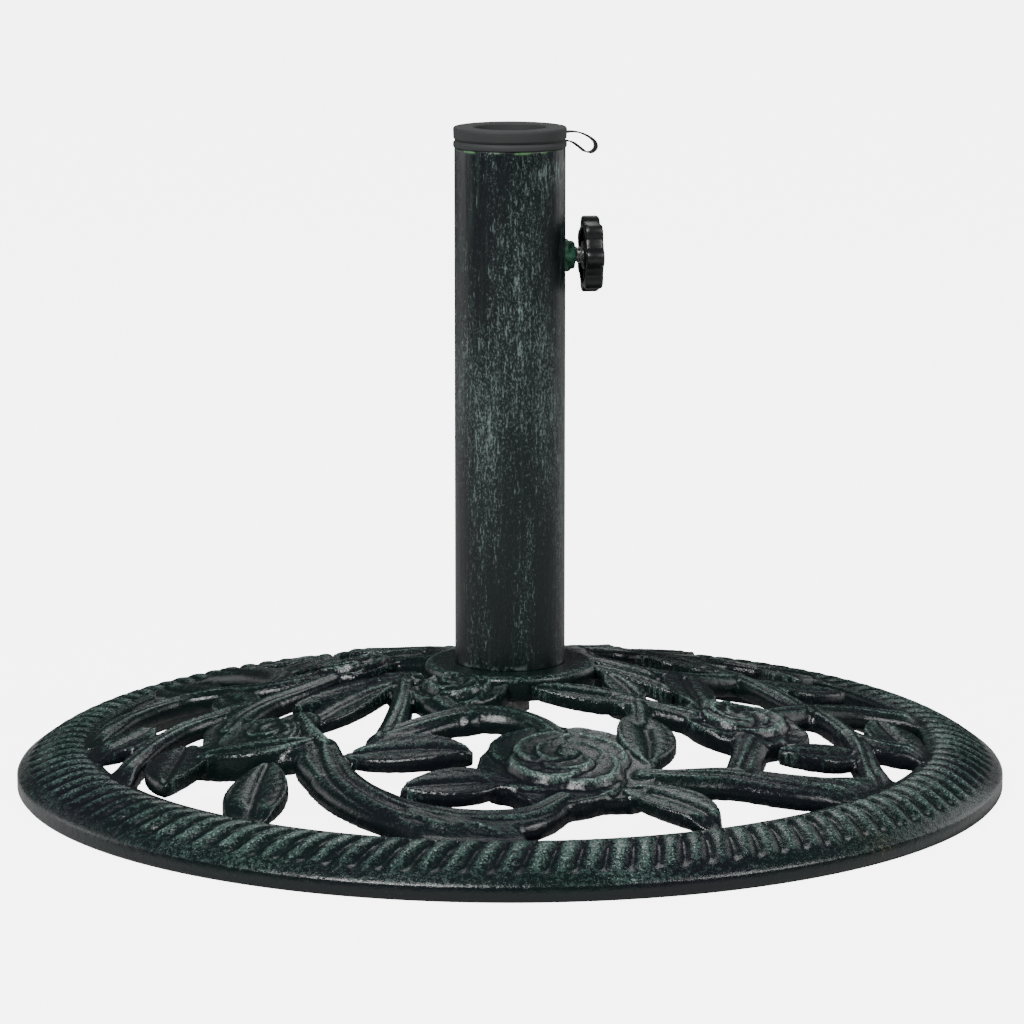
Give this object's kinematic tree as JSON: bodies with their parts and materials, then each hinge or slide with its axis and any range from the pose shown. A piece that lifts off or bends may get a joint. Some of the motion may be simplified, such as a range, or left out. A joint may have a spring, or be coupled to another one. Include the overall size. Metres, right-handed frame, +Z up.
{
  "type": "parasol base",
  "caption": "Round cast-iron parasol base with rose openwork, ribbed rim, pole tube, side clamp screw with lobed knob, and reducer rings on a strap.",
  "frame": {"origin": "centre of the footprint, on the ground, on the pole's axis", "axes": "+Z up the pole; +X along the clamp screw, from the tube to the knob"},
  "size_m": [0.48, 0.48, 0.3183],
  "materials": {
    "painted_iron": "dark green-black paint with a green dry-brushed highlight",
    "painted_steel": "dark green-black paint with brushed pale green streaks",
    "bare_steel": "bare steel",
    "zinc_steel": "bright zinc plate",
    "painted_nut": "green paint",
    "pad_plastic": "black nylon",
    "knob_plastic": "black moulded plastic",
    "ring_plastic": "dark grey moulded plastic"
  },
  "bodies": {
    "base": {"base_casting": "painted_iron", "tube": "painted_steel", "tube_end_plate": "bare_steel", "centre_bolt": "zinc_steel", "flat_washer": "zinc_steel", "spring_washer": "zinc_steel", "clamp_nut": "painted_nut", "nut_welds": "painted_nut"},
    "pad": {"swivel_pad": "pad_plastic"},
    "knob": {"clamp_screw": "zinc_steel", "clamp_knob": "knob_plastic"},
    "lower_ring": {"lower_reducer": "ring_plastic"},
    "upper_ring": {"upper_reducer": "ring_plastic", "tether_strap": "ring_plastic"}
  },
  "joints": [
    {"name": "clamp_turn", "type": "hinge", "parent": "pad", "child": "knob", "pos_m": [0.035, 0, 0.2563], "axis": [1, 0, 0], "range_deg": [-505, 1801]},
    {"name": "clamp_feed", "type": "slide", "parent": "base", "child": "pad", "axis": [1, 0, 0], "range_m": [-0.00175, 0.00625]},
    {"name": "lower_ring_lift", "type": "slide", "parent": "base", "child": "lower_ring", "axis": [0, 0, 1], "range_m": [0, 0.036]},
    {"name": "upper_ring_lift", "type": "slide", "parent": "lower_ring", "child": "upper_ring", "axis": [0, 0, 1], "range_m": [0, 0.02], "deforming": ["tether_strap"]}
  ],
  "couplings": [
    {"joint": "clamp_turn", "follows": "clamp_feed", "rad_per_m": 5026.5}
  ]
}
